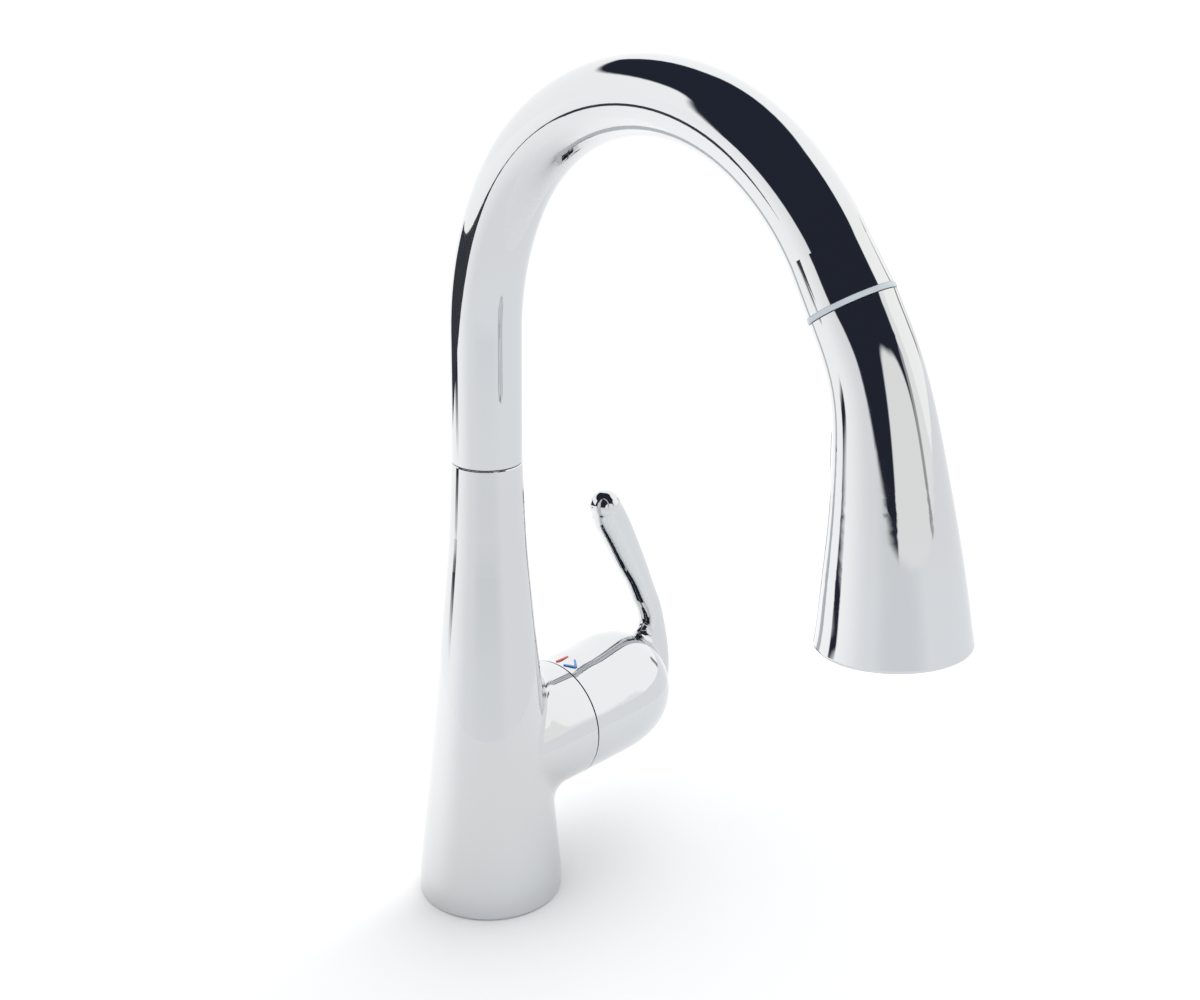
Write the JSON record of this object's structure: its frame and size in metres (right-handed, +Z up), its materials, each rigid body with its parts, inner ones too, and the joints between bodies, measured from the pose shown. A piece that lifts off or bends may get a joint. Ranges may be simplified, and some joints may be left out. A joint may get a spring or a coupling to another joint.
{
  "type": "pull down kitchen faucet",
  "caption": "Single-hole kitchen faucet with tapered column, high-arc swivel spout, flared pull-down spray head and side lever valve.",
  "frame": {"origin": "centre of the base underside, on the deck plane", "axes": "+Z up, spout points along -Y, valve and lever along +X"},
  "size_m": [0.1481, 0.2603, 0.4582],
  "materials": {
    "chrome": "polished",
    "brass": "machined",
    "steel": "zinc plated",
    "black_rubber": "matt",
    "white_plastic": "moulded",
    "dark_plastic": "moulded",
    "ring_grey": "satin",
    "face_grey": "satin",
    "silicone": "soft",
    "braid": "braided nylon",
    "red_inlay": "enamel",
    "blue_inlay": "enamel"
  },
  "bodies": {
    "base": {"faucet_body": "chrome", "base_gasket": "black_rubber", "mounting_stud": "steel", "rubber_washer": "black_rubber", "support_plate": "steel", "fixing_nut": "brass", "cartridge_sleeve": "white_plastic", "cartridge_seals": "black_rubber", "retaining_nut": "brass", "lower_glide_ring": "white_plastic", "upper_glide_ring": "white_plastic", "seam_washer": "dark_plastic", "spout_grub_screw": "steel"},
    "spout": {"spout_tube": "chrome", "spout_collar": "brass", "docking_collar": "ring_grey", "spray_hose": "braid", "hose_coupling": "brass"},
    "head": {"spray_shell": "chrome", "head_spigot": "dark_plastic", "hose_nut": "brass", "filter_screen": "steel", "check_valve": "white_plastic", "spray_core": "white_plastic", "core_seal": "black_rubber", "face_plate": "face_grey", "spray_nozzles": "silicone", "aerator": "face_grey", "toggle_pin": "steel"},
    "toggle": {"toggle_button": "face_grey"},
    "valve_turn": {"pivot_ring": "brass", "pivot_pin": "steel"},
    "lever": {"handle": "chrome", "hot_mark": "red_inlay", "cold_mark": "blue_inlay"},
    "stem": {"valve_stem": "brass", "stem_seals": "black_rubber", "stem_pin": "steel"}
  },
  "joints": [
    {"name": "spout_swivel", "type": "hinge", "parent": "base", "child": "spout", "pos_m": [0, 0, 0.2], "axis": [0, 0, 1], "continuous": true, "deforming": ["spray_hose"]},
    {"name": "spray_pull", "type": "slide", "parent": "spout", "child": "head", "axis": [0, -0.5446, -0.8387], "range_m": [0, 0.4], "stiffness_N_per_m": 3, "springref_m": -2, "deforming": ["spray_hose"]},
    {"name": "spray_toggle", "type": "hinge", "parent": "head", "child": "toggle", "pos_m": [0, -0.18078, 0.24264], "axis": [1, 0, 0], "range_deg": [0, 6]},
    {"name": "handle_temperature", "type": "hinge", "parent": "base", "child": "valve_turn", "pos_m": [0.044, 0, 0.0672], "axis": [1, 0, 0], "range_deg": [-50, 50]},
    {"name": "handle_lift", "type": "hinge", "parent": "valve_turn", "child": "lever", "pos_m": [0.044, 0, 0.0454], "axis": [0, 1, 0], "range_deg": [0, 14]},
    {"name": "stem_slide", "type": "slide", "parent": "valve_turn", "child": "stem", "axis": [1, 0, 0], "range_m": [0, 0.00605]}
  ],
  "couplings": [
    {"joint": "stem_slide", "follows": "handle_lift", "m_per_rad": 0.02437}
  ]
}
